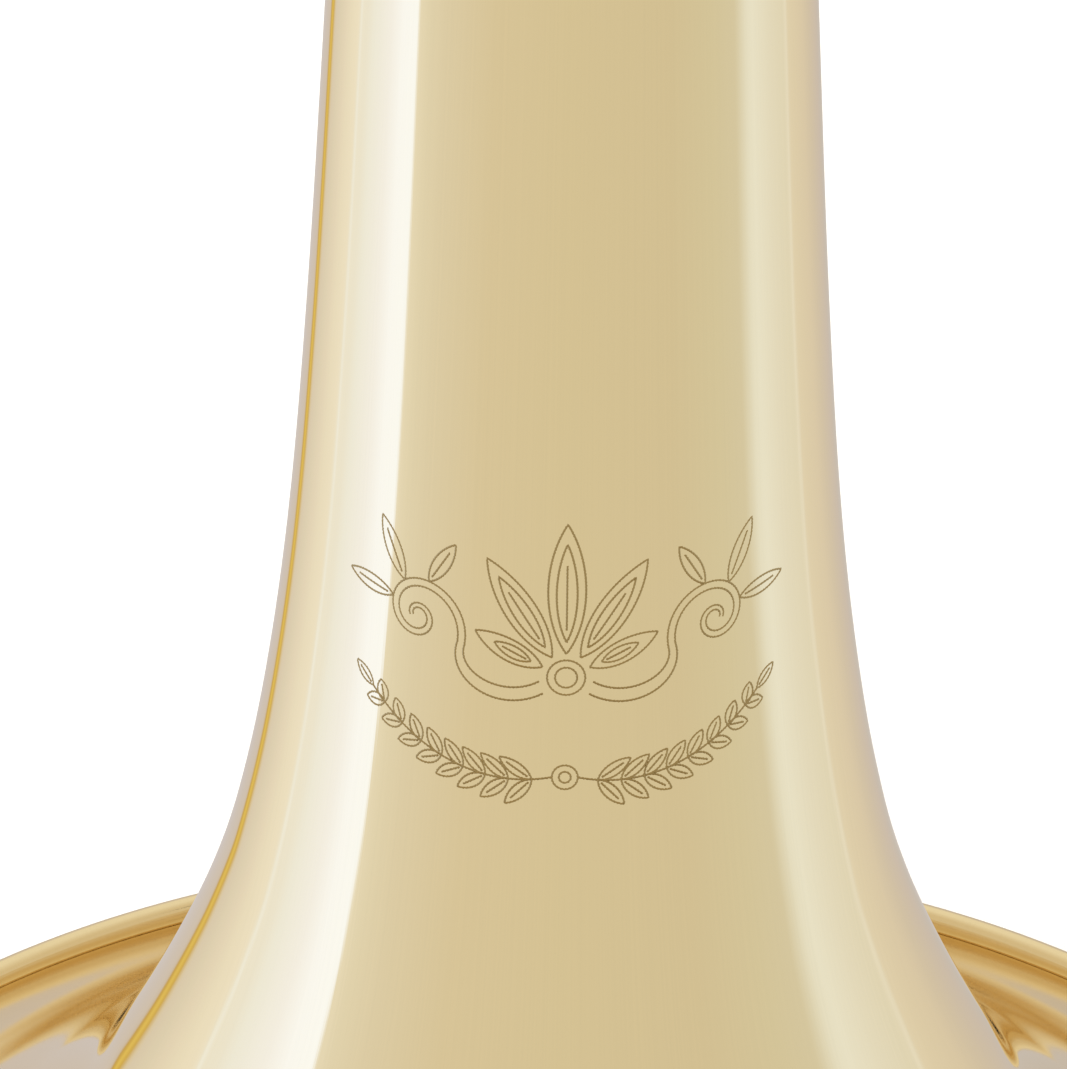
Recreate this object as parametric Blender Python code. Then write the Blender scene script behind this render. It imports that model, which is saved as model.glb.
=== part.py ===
"""Bell section of a straight tenor trombone, standing on its bell rim.

The bell's axis is vertical, with the mouth on the floor and the tuning crook at the top. The
neckpipe runs beside the bell, on the +X side, and ends in the tapered tenon and lock nut that take
the hand slide. The tuning slide pulls straight up, and the lock nut turns on the neckpipe.

Units are metres and +Z is up. The origin is on the floor, midway between the bell's outer edge and
the lock nut's outer edge.
"""

import math

import bmesh
import bpy
from mathutils import Vector

# ---------------------------------------------------------------- driving dimensions
RIM_RADIUS = 0.1016
BELL_WALL = 0.00045
BEAD_RADIUS = 0.0016
RIM_WIRE_RADIUS = 0.0008

# The bell's outer surface: height above the floor, and radius there.
FLARE_STATIONS = (
    (0.0049, 0.0883),
    (0.0083, 0.0820),
    (0.0124, 0.0760),
    (0.0222, 0.0633),
    (0.0329, 0.0527),
    (0.0430, 0.0467),
    (0.0531, 0.0416),
    (0.0632, 0.0374),
    (0.0733, 0.0343),
    (0.0885, 0.0312),
    (0.1086, 0.0285),
    (0.1339, 0.0264),
    (0.1692, 0.0243),
)
STEM_STATIONS = (
    (0.2150, 0.0218),
    (0.2700, 0.0190),
    (0.3300, 0.0163),
    (0.4000, 0.0136),
)
STEM_END_HEIGHT = 0.455

LEG_SPACING = 0.112
OUTER_TUBE_LENGTH = 0.093
LEG_ENGAGEMENT = 0.088
BELL_LEG_BORE_RADIUS = 0.0102
NECK_LEG_BORE_RADIUS = 0.0072
LEG_WALL = 0.0005
OUTER_TUBE_WALL = 0.0006
CROOK_WALL = 0.0006
CROOK_LEAD = 0.019

NECKPIPE_BOTTOM_HEIGHT = 0.262
NECKPIPE_BORE_RADIUS = 0.00695
NECKPIPE_WALL = 0.0006
TENON_LENGTH = 0.032
TENON_END_RADIUS = 0.0087
TENON_TOP_RADIUS = 0.0094
STOP_RING_RADIUS = 0.0108
STOP_RING_LENGTH = 0.004
STOP_RING_EDGE = 0.0006
NUT_RADIUS = 0.015
NUT_LENGTH = 0.018
NUT_WALL = 0.0032
NUT_FLANGE_THICKNESS = 0.003
NUT_LIP_STEP = 0.0012
NUT_EDGE = 0.0006
NUT_UPPER_BAND = 0.004
NUT_LOWER_BAND = 0.003
NUT_FLUTES = 24
NUT_FLUTE_DEPTH = 0.0006

FERRULE_WALL = 0.0009
FERRULE_LENGTH = 0.019
END_RING_WALL = 0.0011
END_RING_LENGTH = 0.006
CROOK_FERRULE_LENGTH = 0.010

BRACE_RADIUS = 0.004
BRACE_BOSS_RADIUS = 0.0056
BRACE_BOSS_LENGTH = 0.006
BRACE_BOSS_EDGE = 0.0008
BRACE_PLATE_THICKNESS = 0.0014
SADDLE_REACH = 0.02
LOWER_BRACE_ABOVE_NUT = 0.0204
UPPER_BRACE_BELOW_FERRULE = 0.0175
STEM_PLATE_RADIUS = 0.0095
NECK_PLATE_RADIUS = 0.0068
CROOK_PLATE_RADIUS = 0.0062

WEIGHT_RADIUS = 0.013
WEIGHT_LENGTH = 0.046
WEIGHT_SPLIT = 0.0008
WEIGHT_EDGE = 0.0015
SCREW_SPACING = 0.030
SCREW_RADIUS = 0.0015
SCREW_HEAD_RADIUS = 0.0027
SCREW_HEAD_HEIGHT = 0.0016
SCREW_OFFSET = 0.0075
SCREW_REACH = 0.0075
SCREW_HOLE_OVERRUN = 0.001

SOLDER_GAP = 0.0003
SLIDING_CLEARANCE = 0.0001

BELL_SIDES = 40
TUBE_SIDES = 24
BEAD_SIDES = 10
CROOK_STEPS = 14
SCREW_SIDES = 12

# ---------------------------------------------------------------- places worked out from them
BELL_X = (RIM_RADIUS - LEG_SPACING - NUT_RADIUS) / 2
NECK_X = BELL_X + LEG_SPACING
STEM_JOINT_HEIGHT = STEM_STATIONS[0][0]
BELL_TUBE_RADIUS = BELL_LEG_BORE_RADIUS + LEG_WALL + SLIDING_CLEARANCE + OUTER_TUBE_WALL
STEM_END = (STEM_END_HEIGHT, BELL_TUBE_RADIUS + SOLDER_GAP)
BEAD_HALF_STEP = math.pi / BEAD_SIDES
BEAD_CENTRE = (RIM_RADIUS - BEAD_RADIUS, BEAD_RADIUS * math.cos(BEAD_HALF_STEP))

OUTER_TUBE_BOTTOM = STEM_END_HEIGHT + SOLDER_GAP
OUTER_TUBE_TOP = OUTER_TUBE_BOTTOM + OUTER_TUBE_LENGTH
LEG_BOTTOM = OUTER_TUBE_TOP - LEG_ENGAGEMENT
CROOK_FERRULE_BOTTOM = OUTER_TUBE_TOP + SOLDER_GAP
CROOK_FERRULE_TOP = CROOK_FERRULE_BOTTOM + CROOK_FERRULE_LENGTH
LEG_TOP = (CROOK_FERRULE_BOTTOM + CROOK_FERRULE_TOP) / 2
CROOK_BOTTOM = LEG_TOP + SOLDER_GAP
CROOK_BEND_HEIGHT = CROOK_BOTTOM + CROOK_LEAD
CROOK_BEND_RADIUS = LEG_SPACING / 2
CROOK_BRACE_HEIGHT = (CROOK_FERRULE_TOP + CROOK_BEND_HEIGHT) / 2 + SOLDER_GAP

TENON_TOP_HEIGHT = NECKPIPE_BOTTOM_HEIGHT + TENON_LENGTH
STOP_RING_BOTTOM = TENON_TOP_HEIGHT + SOLDER_GAP
STOP_RING_TOP = STOP_RING_BOTTOM + STOP_RING_LENGTH
NUT_FLANGE_BOTTOM = STOP_RING_TOP + SOLDER_GAP
NUT_TOP = NUT_FLANGE_BOTTOM + NUT_FLANGE_THICKNESS
NUT_BOTTOM = NUT_TOP - NUT_LENGTH

LOWER_BRACE_HEIGHT = NUT_TOP + LOWER_BRACE_ABOVE_NUT
UPPER_BRACE_HEIGHT = STEM_END_HEIGHT - FERRULE_LENGTH / 2 - UPPER_BRACE_BELOW_FERRULE


# ---------------------------------------------------------------- the bell's curve
def smooth_curve(stations, height):
    """The radius at a height, on a smooth curve through the stations."""
    last = len(stations) - 1
    index = 0
    while index < last - 1 and height > stations[index + 1][0]:
        index += 1

    def slope(at):
        low = max(at - 1, 0)
        high = min(at + 1, last)
        return (stations[high][1] - stations[low][1]) / (stations[high][0] - stations[low][0])

    (z0, r0), (z1, r1) = stations[index], stations[index + 1]
    span = z1 - z0
    t = (height - z0) / span
    return (
        r0 * (1 + 2 * t) * (1 - t) ** 2
        + span * slope(index) * t * (1 - t) ** 2
        + r1 * t * t * (3 - 2 * t)
        + span * slope(index + 1) * t * t * (t - 1)
    )


def bead_point(radius, angle):
    return (
        BEAD_CENTRE[0] + radius * math.cos(angle),
        BEAD_CENTRE[1] + radius * math.sin(angle),
    )


CURL_START = -math.pi / 2 - BEAD_HALF_STEP
CURL_STEPS = 8
CURL_ANGLES = [CURL_START + 2 * BEAD_HALF_STEP * step for step in range(CURL_STEPS + 1)]
CURL_INNER_RADIUS = BEAD_RADIUS - BELL_WALL
RIM_POINT = bead_point(CURL_INNER_RADIUS, CURL_START)
BELL_STATIONS = ((RIM_POINT[1], RIM_POINT[0]),) + FLARE_STATIONS + STEM_STATIONS + (STEM_END,)


def bell_radius(height):
    """The bell's outer radius at a height above the floor."""
    return smooth_curve(BELL_STATIONS, height)


def inner_offset(height, wall):
    """The point of the bell's inner surface that lies behind its outer surface at a height."""
    step = 0.0001
    slope = (bell_radius(height + step) - bell_radius(height - step)) / (2 * step)
    length = math.hypot(1, slope)
    return (bell_radius(height) - wall / length, height + wall * slope / length)


def neckpipe_bore(height):
    """The neckpipe's bore radius, which opens evenly towards the tuning slide."""
    share = (height - NECKPIPE_BOTTOM_HEIGHT) / (STEM_END_HEIGHT - NECKPIPE_BOTTOM_HEIGHT)
    return NECKPIPE_BORE_RADIUS + share * (NECK_LEG_BORE_RADIUS - NECKPIPE_BORE_RADIUS)


def neckpipe_radius(height):
    return neckpipe_bore(height) + NECKPIPE_WALL


# ---------------------------------------------------------------- materials and mesh helpers
def material(name, colour, roughness):
    made = bpy.data.materials.new(name)
    made.use_nodes = True
    shader = made.node_tree.nodes["Principled BSDF"]
    shader.inputs["Base Color"].default_value = (*colour, 1)
    shader.inputs["Roughness"].default_value = roughness
    shader.inputs["Metallic"].default_value = 1
    return made


def add_object(name, bm, finish, location, smooth_angle=math.radians(35)):
    bmesh.ops.recalc_face_normals(bm, faces=bm.faces)
    mesh = bpy.data.meshes.new(name)
    bm.to_mesh(mesh)
    bm.free()
    mesh.materials.append(finish)
    mesh.shade_smooth()
    mesh.set_sharp_from_angle(angle=smooth_angle)
    made = bpy.data.objects.new(name, mesh)
    made.location = location
    bpy.context.scene.collection.objects.link(made)
    return made


def spun(outline, sides, axis):
    """A closed outline of (radius, height) turned about an axis through the origin."""
    bm = bmesh.new()
    if axis == "Z":
        verts = [bm.verts.new((radius, 0, height)) for radius, height in outline]
        direction = (0, 0, 1)
    elif axis == "X":
        verts = [bm.verts.new((height, 0, radius)) for radius, height in outline]
        direction = (1, 0, 0)
    else:
        verts = [bm.verts.new((radius, height, 0)) for radius, height in outline]
        direction = (0, 1, 0)
    edges = [bm.edges.new((verts[i - 1], verts[i])) for i in range(len(verts))]
    bmesh.ops.spin(
        bm,
        geom=verts + edges,
        cent=(0, 0, 0),
        axis=direction,
        angle=2 * math.pi,
        steps=sides,
        use_merge=True,
    )
    bmesh.ops.remove_doubles(bm, verts=bm.verts, dist=1e-7)
    return bm


def turned(name, outline, finish, x, origin_height, sides=TUBE_SIDES):
    """A turned piece on a vertical axis at x, with its origin on that axis."""
    local = [(radius, height - origin_height) for radius, height in outline]
    return add_object(name, spun(local, sides, "Z"), finish, (x, 0, origin_height))


def sleeve(name, finish, x, bottom, top, inner, outer, edge=0.0):
    """A round sleeve, with its outer corners chamfered by edge."""
    outline = [(inner, top), (outer - edge, top)]
    if edge:
        outline += [(outer, top - edge), (outer, bottom + edge)]
    outline += [(outer - edge, bottom), (inner, bottom)]
    return turned(name, outline, finish, x, (bottom + top) / 2)


def cut_by(piece, cutter):
    cutter.hide_render = True
    cutter.display_type = "WIRE"
    cut = piece.modifiers.new("cut", "BOOLEAN")
    cut.operation = "DIFFERENCE"
    cut.object = cutter


# ---------------------------------------------------------------- the bell
def bell_heights(bottom, top, count, crowding):
    """Heights from top down to bottom, closer together towards the bottom."""
    shares = [(step / count) ** crowding for step in range(count, -1, -1)]
    return [bottom + (top - bottom) * share for share in shares]


def bell_flare(finish):
    """The spun flare, whose edge is rolled back outwards round the rim wire."""
    top = STEM_JOINT_HEIGHT - SOLDER_GAP
    heights = bell_heights(RIM_POINT[1], top, count=17, crowding=2.0)
    outside = [(bell_radius(height), height) for height in heights]
    inside = [inner_offset(height, BELL_WALL) for height in heights]
    curl_inside = [bead_point(CURL_INNER_RADIUS, angle) for angle in CURL_ANGLES]
    curl_outside = [bead_point(BEAD_RADIUS, angle) for angle in CURL_ANGLES]
    outline = outside[:-1] + curl_inside + curl_outside[::-1] + inside[-2::-1]
    turned("bell_flare", outline, finish, BELL_X, 0, BELL_SIDES)


def rim_wire(finish):
    """The wire that the bell's edge is rolled round."""
    steps = range(BEAD_SIDES)
    angles = [CURL_START - 2 * BEAD_HALF_STEP * step for step in steps]
    outline = [bead_point(RIM_WIRE_RADIUS, angle) for angle in angles]
    turned("rim_wire", outline, finish, BELL_X, 0, BELL_SIDES)


def bell_stem(finish):
    """The long taper between the flare and the tuning slide."""
    heights = bell_heights(STEM_JOINT_HEIGHT, STEM_END_HEIGHT, count=6, crowding=1.0)
    outside = [(bell_radius(height), height) for height in heights]
    inside = [(radius - BELL_WALL, height) for radius, height in outside]
    turned("bell_stem", outside + inside[::-1], finish, BELL_X, STEM_JOINT_HEIGHT)


# ---------------------------------------------------------------- the tuning slide's tubes
def outer_radius_of_leg(bore):
    return bore + LEG_WALL


def outer_tube_radii(bore):
    inner = outer_radius_of_leg(bore) + SLIDING_CLEARANCE
    return inner, inner + OUTER_TUBE_WALL


def tuning_tubes(side, x, bore, pipe_radius_at, brass, nickel):
    """One side of the tuning slide: outer tube, its ferrule and end ring, inner leg, crook ferrule."""
    tube_inner, tube_outer = outer_tube_radii(bore)
    sleeve(f"{side}_outer_tube", brass, x, OUTER_TUBE_BOTTOM, OUTER_TUBE_TOP, tube_inner, tube_outer)

    ferrule_top = STEM_END_HEIGHT + FERRULE_LENGTH / 2
    ferrule_bottom = ferrule_top - FERRULE_LENGTH
    ferrule_inner = max(tube_outer, pipe_radius_at(ferrule_bottom)) + SOLDER_GAP
    ferrule_outer = ferrule_inner + FERRULE_WALL
    sleeve(
        f"{side}_tube_ferrule", nickel, x, ferrule_bottom, ferrule_top,
        ferrule_inner, ferrule_outer, edge=FERRULE_WALL / 2,
    )

    ring_inner = tube_outer + SOLDER_GAP
    sleeve(
        f"{side}_tube_end_ring", nickel, x, OUTER_TUBE_TOP - END_RING_LENGTH, OUTER_TUBE_TOP,
        ring_inner, ring_inner + END_RING_WALL, edge=END_RING_WALL / 2,
    )

    leg_outer = outer_radius_of_leg(bore)
    sleeve(f"{side}_inner_leg", nickel, x, LEG_BOTTOM, LEG_TOP, bore, leg_outer)

    crook_outer = bore + CROOK_WALL
    crook_ferrule_inner = max(leg_outer, crook_outer) + SOLDER_GAP
    sleeve(
        f"{side}_crook_ferrule", nickel, x, CROOK_FERRULE_BOTTOM, CROOK_FERRULE_TOP,
        crook_ferrule_inner, crook_ferrule_inner + FERRULE_WALL, edge=FERRULE_WALL / 2,
    )


def crook_sections():
    """Centre, sideways direction and bore radius of each section, from the neck side to the bell side."""
    centre_x = (BELL_X + NECK_X) / 2
    sections = [(Vector((NECK_X, 0, CROOK_BOTTOM)), Vector((1, 0, 0)), NECK_LEG_BORE_RADIUS)]
    for step in range(CROOK_STEPS + 1):
        share = step / CROOK_STEPS
        angle = math.pi * share
        across = Vector((math.cos(angle), 0, math.sin(angle)))
        centre = Vector((centre_x, 0, CROOK_BEND_HEIGHT)) + CROOK_BEND_RADIUS * across
        bore = NECK_LEG_BORE_RADIUS + share * (BELL_LEG_BORE_RADIUS - NECK_LEG_BORE_RADIUS)
        sections.append((centre, across, bore))
    sections.append((Vector((BELL_X, 0, CROOK_BOTTOM)), Vector((-1, 0, 0)), BELL_LEG_BORE_RADIUS))
    return sections


def ring_of(bm, centre, across, radius):
    points = []
    for side in range(TUBE_SIDES):
        angle = 2 * math.pi * side / TUBE_SIDES
        offset = math.cos(angle) * across + math.sin(angle) * Vector((0, 1, 0))
        points.append(bm.verts.new(centre + radius * offset))
    return points


def tuning_crook(finish):
    """The bow that joins the two legs, opening from the neck side's bore to the bell side's."""
    origin = Vector(((BELL_X + NECK_X) / 2, 0, CROOK_BEND_HEIGHT))
    bm = bmesh.new()
    sections = [(centre - origin, across, bore) for centre, across, bore in crook_sections()]
    outside = [ring_of(bm, centre, across, bore + CROOK_WALL) for centre, across, bore in sections]
    inside = [ring_of(bm, centre, across, bore) for centre, across, bore in sections]
    rings = outside + inside[::-1]
    for index in range(len(rings)):
        below, above = rings[index - 1], rings[index]
        for side in range(TUBE_SIDES):
            bm.faces.new((below[side - 1], below[side], above[side], above[side - 1]))
    add_object("tuning_crook", bm, finish, origin)


# ---------------------------------------------------------------- the neckpipe and its lock nut
def neckpipe(finish):
    top = STEM_END_HEIGHT
    outline = [
        (neckpipe_radius(top), top),
        (neckpipe_radius(NECKPIPE_BOTTOM_HEIGHT), NECKPIPE_BOTTOM_HEIGHT),
        (neckpipe_bore(NECKPIPE_BOTTOM_HEIGHT), NECKPIPE_BOTTOM_HEIGHT),
        (neckpipe_bore(top), top),
    ]
    turned("neckpipe", outline, finish, NECK_X, NECKPIPE_BOTTOM_HEIGHT)


def neck_tenon(finish):
    """The tapered sleeve on the neckpipe's end, which wedges in the hand slide's receiver."""
    inner = neckpipe_radius(TENON_TOP_HEIGHT) + SOLDER_GAP
    outline = [
        (inner, TENON_TOP_HEIGHT),
        (TENON_TOP_RADIUS, TENON_TOP_HEIGHT),
        (TENON_END_RADIUS, NECKPIPE_BOTTOM_HEIGHT),
        (inner, NECKPIPE_BOTTOM_HEIGHT),
    ]
    turned("neck_tenon", outline, finish, NECK_X, NECKPIPE_BOTTOM_HEIGHT)


def nut_stop_ring(finish):
    """The collar that keeps the lock nut from dropping off the tenon."""
    inner = neckpipe_radius(STOP_RING_TOP) + SOLDER_GAP
    sleeve(
        "nut_stop_ring", finish, NECK_X, STOP_RING_BOTTOM, STOP_RING_TOP, inner,
        STOP_RING_RADIUS, edge=STOP_RING_EDGE,
    )


def lock_nut(finish):
    """The knurled nut, whose flange hangs on the stop ring and whose skirt holds the thread."""
    flange_bore = neckpipe_radius(NUT_TOP) + 2 * SOLDER_GAP
    skirt_bore = NUT_RADIUS - NUT_WALL
    lip = NUT_RADIUS - NUT_LIP_STEP
    knurl_top = NUT_TOP - NUT_UPPER_BAND
    knurl_bottom = NUT_BOTTOM + NUT_LOWER_BAND
    outline = [
        (flange_bore, NUT_TOP),
        (lip - 2 * NUT_EDGE, NUT_TOP),
        (lip, NUT_TOP - 2 * NUT_EDGE),
        (lip, knurl_top),
        (NUT_RADIUS, knurl_top - NUT_EDGE),
        (NUT_RADIUS, knurl_bottom + NUT_EDGE),
        (lip, knurl_bottom),
        (lip, NUT_BOTTOM + NUT_EDGE),
        (lip - NUT_EDGE, NUT_BOTTOM),
        (skirt_bore, NUT_BOTTOM),
        (skirt_bore, NUT_FLANGE_BOTTOM),
        (flange_bore, NUT_FLANGE_BOTTOM),
    ]
    made = turned("lock_nut", outline, finish, NECK_X, NUT_FLANGE_BOTTOM, 2 * NUT_FLUTES)
    step = math.pi / NUT_FLUTES
    for vertex in made.data.vertices:
        radius = math.hypot(vertex.co.x, vertex.co.y)
        column = round(math.atan2(vertex.co.y, vertex.co.x) / step)
        if radius > lip + NUT_LIP_STEP / 2 and column % 2:
            inward = (radius - NUT_FLUTE_DEPTH) / radius
            vertex.co.x *= inward
            vertex.co.y *= inward


# ---------------------------------------------------------------- braces
def brace_flange(name, finish, height, surface_x, outward, plate_radius, tube_radius):
    """A plate saddled on a tube, with the boss that takes the brace. It faces +X or -X."""
    saddle_depth = tube_radius + SOLDER_GAP - math.sqrt(tube_radius**2 - plate_radius**2)
    plate_face = SOLDER_GAP + BRACE_PLATE_THICKNESS
    boss_end = plate_face + BRACE_BOSS_LENGTH
    outline = [
        (0, -saddle_depth),
        (plate_radius, -saddle_depth),
        (plate_radius, plate_face - BRACE_PLATE_THICKNESS / 2),
        (plate_radius - BRACE_PLATE_THICKNESS, plate_face),
        (BRACE_BOSS_RADIUS, plate_face),
        (BRACE_BOSS_RADIUS, boss_end - BRACE_BOSS_EDGE),
        (BRACE_BOSS_RADIUS - BRACE_BOSS_EDGE, boss_end),
        (0, boss_end),
    ]
    local = [(radius, outward * along) for radius, along in outline]
    bm = spun(local, TUBE_SIDES, "X")
    return add_object(name, bm, finish, (surface_x, 0, height)), boss_end


def saddle_cutter(name, x, height, radius_at):
    """A solid of the tube itself plus the solder gap, to shape a flange's saddle."""
    low = height - SADDLE_REACH
    high = height + SADDLE_REACH
    outline = [
        (0, high),
        (radius_at(high) + SOLDER_GAP, high),
        (radius_at(low) + SOLDER_GAP, low),
        (0, low),
    ]
    return turned(name, outline, None, x, height, 2 * TUBE_SIDES)


def brace(name, brass, nickel, height, bell_side_radius, neck_side_radius, bell_plate, neck_plate):
    """A brace across the two pipes: a flange on each, and a round stay between the flanges."""
    bell_surface = BELL_X + bell_side_radius(height)
    neck_surface = NECK_X - neck_side_radius(height)
    bell_flange, boss = brace_flange(
        f"{name}_bell_flange", nickel, height, bell_surface, 1, bell_plate,
        bell_side_radius(height),
    )
    cut_by(bell_flange, saddle_cutter(f"{name}_bell_saddle", BELL_X, height, bell_side_radius))
    neck_flange, boss = brace_flange(
        f"{name}_neck_flange", nickel, height, neck_surface, -1, neck_plate,
        neck_side_radius(height),
    )
    cut_by(neck_flange, saddle_cutter(f"{name}_neck_saddle", NECK_X, height, neck_side_radius))
    start = bell_surface + boss + SOLDER_GAP
    end = neck_surface - boss - SOLDER_GAP
    middle = (start + end) / 2
    half = (end - start) / 2
    outline = [(0, -half), (BRACE_RADIUS, -half), (BRACE_RADIUS, half), (0, half)]
    add_object(f"{name}_stay", spun(outline, TUBE_SIDES, "X"), brass, (middle, 0, height))
    return middle


# ---------------------------------------------------------------- the balance weight
def weight_half(name, finish, centre, facing):
    """Half of the balance weight, a split drum clamped round the crook's stay. It faces +Y or -Y."""
    bore = BRACE_RADIUS + SOLDER_GAP
    half = WEIGHT_LENGTH / 2
    outline = [
        (bore, -half),
        (WEIGHT_RADIUS - WEIGHT_EDGE, -half),
        (WEIGHT_RADIUS, WEIGHT_EDGE - half),
        (WEIGHT_RADIUS, half - WEIGHT_EDGE),
        (WEIGHT_RADIUS - WEIGHT_EDGE, half),
        (bore, half),
    ]
    bm = spun(outline, 2 * TUBE_SIDES, "X")
    plane = Vector((0, facing * WEIGHT_SPLIT / 2, 0))
    everything = bm.verts[:] + bm.edges[:] + bm.faces[:]
    bmesh.ops.bisect_plane(
        bm, geom=everything, plane_co=plane, plane_no=(0, -facing, 0), clear_outer=True
    )
    open_edges = [edge for edge in bm.edges if edge.is_boundary]
    bmesh.ops.holes_fill(bm, edges=open_edges, sides=0)
    return add_object(name, bm, finish, centre)


def screw_cutter(name, x, height, head_seat):
    """The hole for one screw, and the wider seat for its head."""
    reach = WEIGHT_RADIUS + SCREW_HOLE_OVERRUN
    outline = [
        (0, -reach),
        (SCREW_HEAD_RADIUS + SOLDER_GAP, -reach),
        (SCREW_HEAD_RADIUS + SOLDER_GAP, head_seat),
        (SCREW_RADIUS + SOLDER_GAP, head_seat),
        (SCREW_RADIUS + SOLDER_GAP, reach),
        (0, reach),
    ]
    return add_object(name, spun(outline, SCREW_SIDES, "Y"), None, (x, 0, height))


def balance_weight(brass, steel, x, height):
    """The two halves round the stay, and the screws through them, above the stay."""
    centre = (x, 0, height)
    front = weight_half("weight_front_half", brass, centre, -1)
    rear = weight_half("weight_rear_half", brass, centre, 1)
    head_seat = -SCREW_OFFSET
    head_bottom = head_seat - SOLDER_GAP
    screw_height = height + BRACE_RADIUS + SCREW_HEAD_RADIUS + 2 * SOLDER_GAP
    outline = [
        (0, head_bottom - SCREW_HEAD_HEIGHT),
        (SCREW_HEAD_RADIUS, head_bottom - SCREW_HEAD_HEIGHT),
        (SCREW_HEAD_RADIUS, head_bottom),
        (SCREW_RADIUS, head_bottom),
        (SCREW_RADIUS, SCREW_REACH),
        (0, SCREW_REACH),
    ]
    for side, direction in (("bell", -1), ("neck", 1)):
        screw_x = x + direction * SCREW_SPACING / 2
        cutter = screw_cutter(f"weight_hole_{side}", screw_x, screw_height, head_seat)
        cut_by(front, cutter)
        cut_by(rear, cutter)
        screw = spun(outline, SCREW_SIDES, "Y")
        add_object(f"weight_screw_{side}", screw, steel, (screw_x, 0, screw_height))


def main():
    for old in list(bpy.data.objects):
        bpy.data.objects.remove(old)
    brass = material("lacquered_brass", (0.83, 0.66, 0.36), 0.12)
    nickel = material("nickel_silver", (0.80, 0.77, 0.70), 0.18)
    steel = material("steel", (0.62, 0.62, 0.62), 0.3)

    bell_flare(brass)
    rim_wire(steel)
    bell_stem(brass)
    tuning_tubes("bell", BELL_X, BELL_LEG_BORE_RADIUS, bell_radius, brass, nickel)
    neckpipe(brass)
    neck_tenon(nickel)
    nut_stop_ring(nickel)
    lock_nut(nickel)
    tuning_tubes("neck", NECK_X, NECK_LEG_BORE_RADIUS, neckpipe_radius, brass, nickel)
    tuning_crook(brass)

    for name, height in (("lower_brace", LOWER_BRACE_HEIGHT), ("upper_brace", UPPER_BRACE_HEIGHT)):
        brace(
            name, brass, nickel, height, bell_radius, neckpipe_radius,
            STEM_PLATE_RADIUS, NECK_PLATE_RADIUS,
        )
    middle = brace(
        "crook_brace", brass, nickel, CROOK_BRACE_HEIGHT,
        lambda height: BELL_LEG_BORE_RADIUS + CROOK_WALL,
        lambda height: NECK_LEG_BORE_RADIUS + CROOK_WALL,
        CROOK_PLATE_RADIUS, CROOK_PLATE_RADIUS,
    )
    balance_weight(brass, steel, middle, CROOK_BRACE_HEIGHT)


main()
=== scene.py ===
"""Studio model of a trombone's bell section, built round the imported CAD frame.

Every visible piece is turned, swept or cut here at full smoothness, where the frame says, and rides
on the frame's bodies. Units are metres, +Z is up and the bell's mouth stands on the floor.
"""

import math

import bmesh
import bpy
from mathutils import Matrix, Vector


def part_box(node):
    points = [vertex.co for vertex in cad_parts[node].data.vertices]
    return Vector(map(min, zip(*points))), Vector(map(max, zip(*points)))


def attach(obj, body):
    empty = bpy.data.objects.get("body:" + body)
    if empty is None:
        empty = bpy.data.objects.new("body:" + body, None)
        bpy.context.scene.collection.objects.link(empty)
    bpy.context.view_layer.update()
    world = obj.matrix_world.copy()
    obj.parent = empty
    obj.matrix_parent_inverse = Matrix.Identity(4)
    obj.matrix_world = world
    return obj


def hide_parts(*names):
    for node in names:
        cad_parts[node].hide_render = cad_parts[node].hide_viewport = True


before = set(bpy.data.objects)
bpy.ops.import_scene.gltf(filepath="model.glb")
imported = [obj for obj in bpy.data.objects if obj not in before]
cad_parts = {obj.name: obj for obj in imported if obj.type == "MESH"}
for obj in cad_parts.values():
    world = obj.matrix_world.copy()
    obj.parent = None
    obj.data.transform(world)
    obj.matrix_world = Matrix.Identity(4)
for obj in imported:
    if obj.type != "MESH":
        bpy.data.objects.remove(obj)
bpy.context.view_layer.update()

bl_info = {
    "name": "Trombone Bell Section",
    "version": (1, 0, 0),
    "blender": (4, 5, 0),
    "location": "3D View > Sidebar > Bell Section",
    "description": "Builds a lacquered trombone bell section and a plain studio round it",
    "category": "Add Mesh",
}


# -------- places read from the frame
def centre_of(node):
    low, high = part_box(node)
    return (Vector(low) + Vector(high)) / 2


def radius_of(node):
    """Outer radius of an upright round node."""
    low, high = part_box(node)
    return (high[1] - low[1]) / 2


def span_of(node, axis=2):
    """Lowest and highest value of a node along an axis."""
    low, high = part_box(node)
    return low[axis], high[axis]


BELL_X = centre_of("bell_flare").x
NECK_X = centre_of("neckpipe").x
RIM_RADIUS = radius_of("bell_flare")
STEM_JOINT = span_of("bell_stem")[0]
STEM_TOP = span_of("bell_stem")[1]
TUBE_SIDES = {"bell": BELL_X, "neck": NECK_X}

# The bell's outer surface between its rolled edge and its stem's end: height and radius.
BELL_STATIONS = (
    (0.0049, 0.0883), (0.0083, 0.0820), (0.0124, 0.0760),
    (0.0222, 0.0633), (0.0329, 0.0527), (0.0430, 0.0467),
    (0.0531, 0.0416), (0.0632, 0.0374), (0.0733, 0.0343),
    (0.0885, 0.0312), (0.1086, 0.0285), (0.1339, 0.0264),
    (0.1692, 0.0243), (0.2150, 0.0218), (0.2700, 0.0190),
    (0.3300, 0.0163), (0.4000, 0.0136), (0.4550, 0.0117),
)


# -------- settings that a user would change
def length_setting(name, description, default, low, high):
    return bpy.props.FloatProperty(
        name=name, description=description, default=default, min=low, max=high, precision=5,
        subtype="DISTANCE", unit="LENGTH",
    )


def count_setting(name, description, default, low, high):
    return bpy.props.IntProperty(name=name, description=description, default=default, min=low, max=high)


def colour_setting(name, description, default):
    return bpy.props.FloatVectorProperty(
        name=name, description=description, default=default, size=3, min=0.0, max=1.0, subtype="COLOR",
    )


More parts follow.
